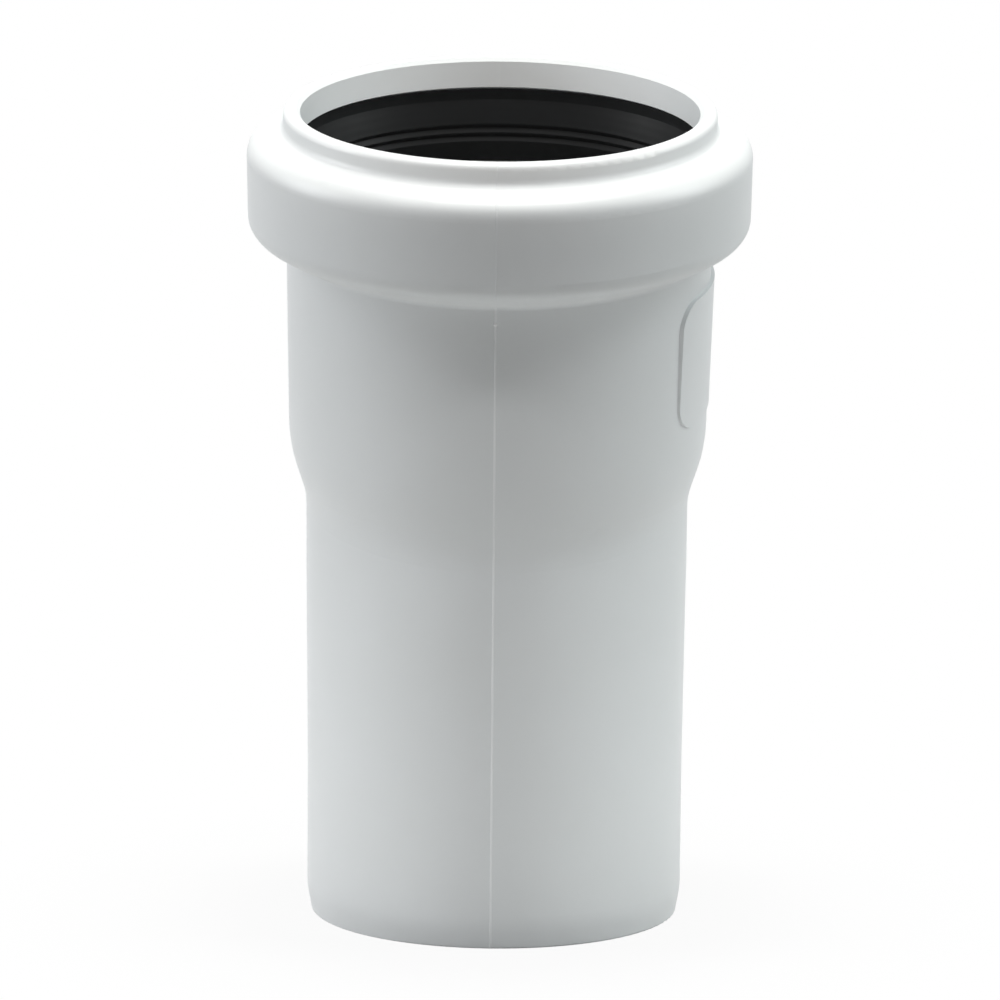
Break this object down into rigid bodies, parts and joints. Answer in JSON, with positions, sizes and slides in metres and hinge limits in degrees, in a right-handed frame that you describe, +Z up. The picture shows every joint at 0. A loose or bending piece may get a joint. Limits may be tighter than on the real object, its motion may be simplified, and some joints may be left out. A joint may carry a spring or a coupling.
{
  "type": "waste pipe bend",
  "caption": "Push-fit waste pipe bend for 50 mm pipe: plain spigot with a tapered lead-in, shallow bend, and a socket with a stepped seal collar and a black rubber lip seal.",
  "frame": {"origin": "centre of the spigot's end face, which the part stands on", "axes": "+Z up along the spigot's axis, towards the socket; the socket leans 15 degrees towards -Y, and the raised marking plate is on the +X side"},
  "size_m": [0.0646, 0.069, 0.1139],
  "materials": {
    "moulded_polypropylene": "satin",
    "seal_rubber": "matte"
  },
  "bodies": {
    "root": {"bend_body": "moulded_polypropylene", "seal_ring": "seal_rubber"}
  },
  "joints": []
}
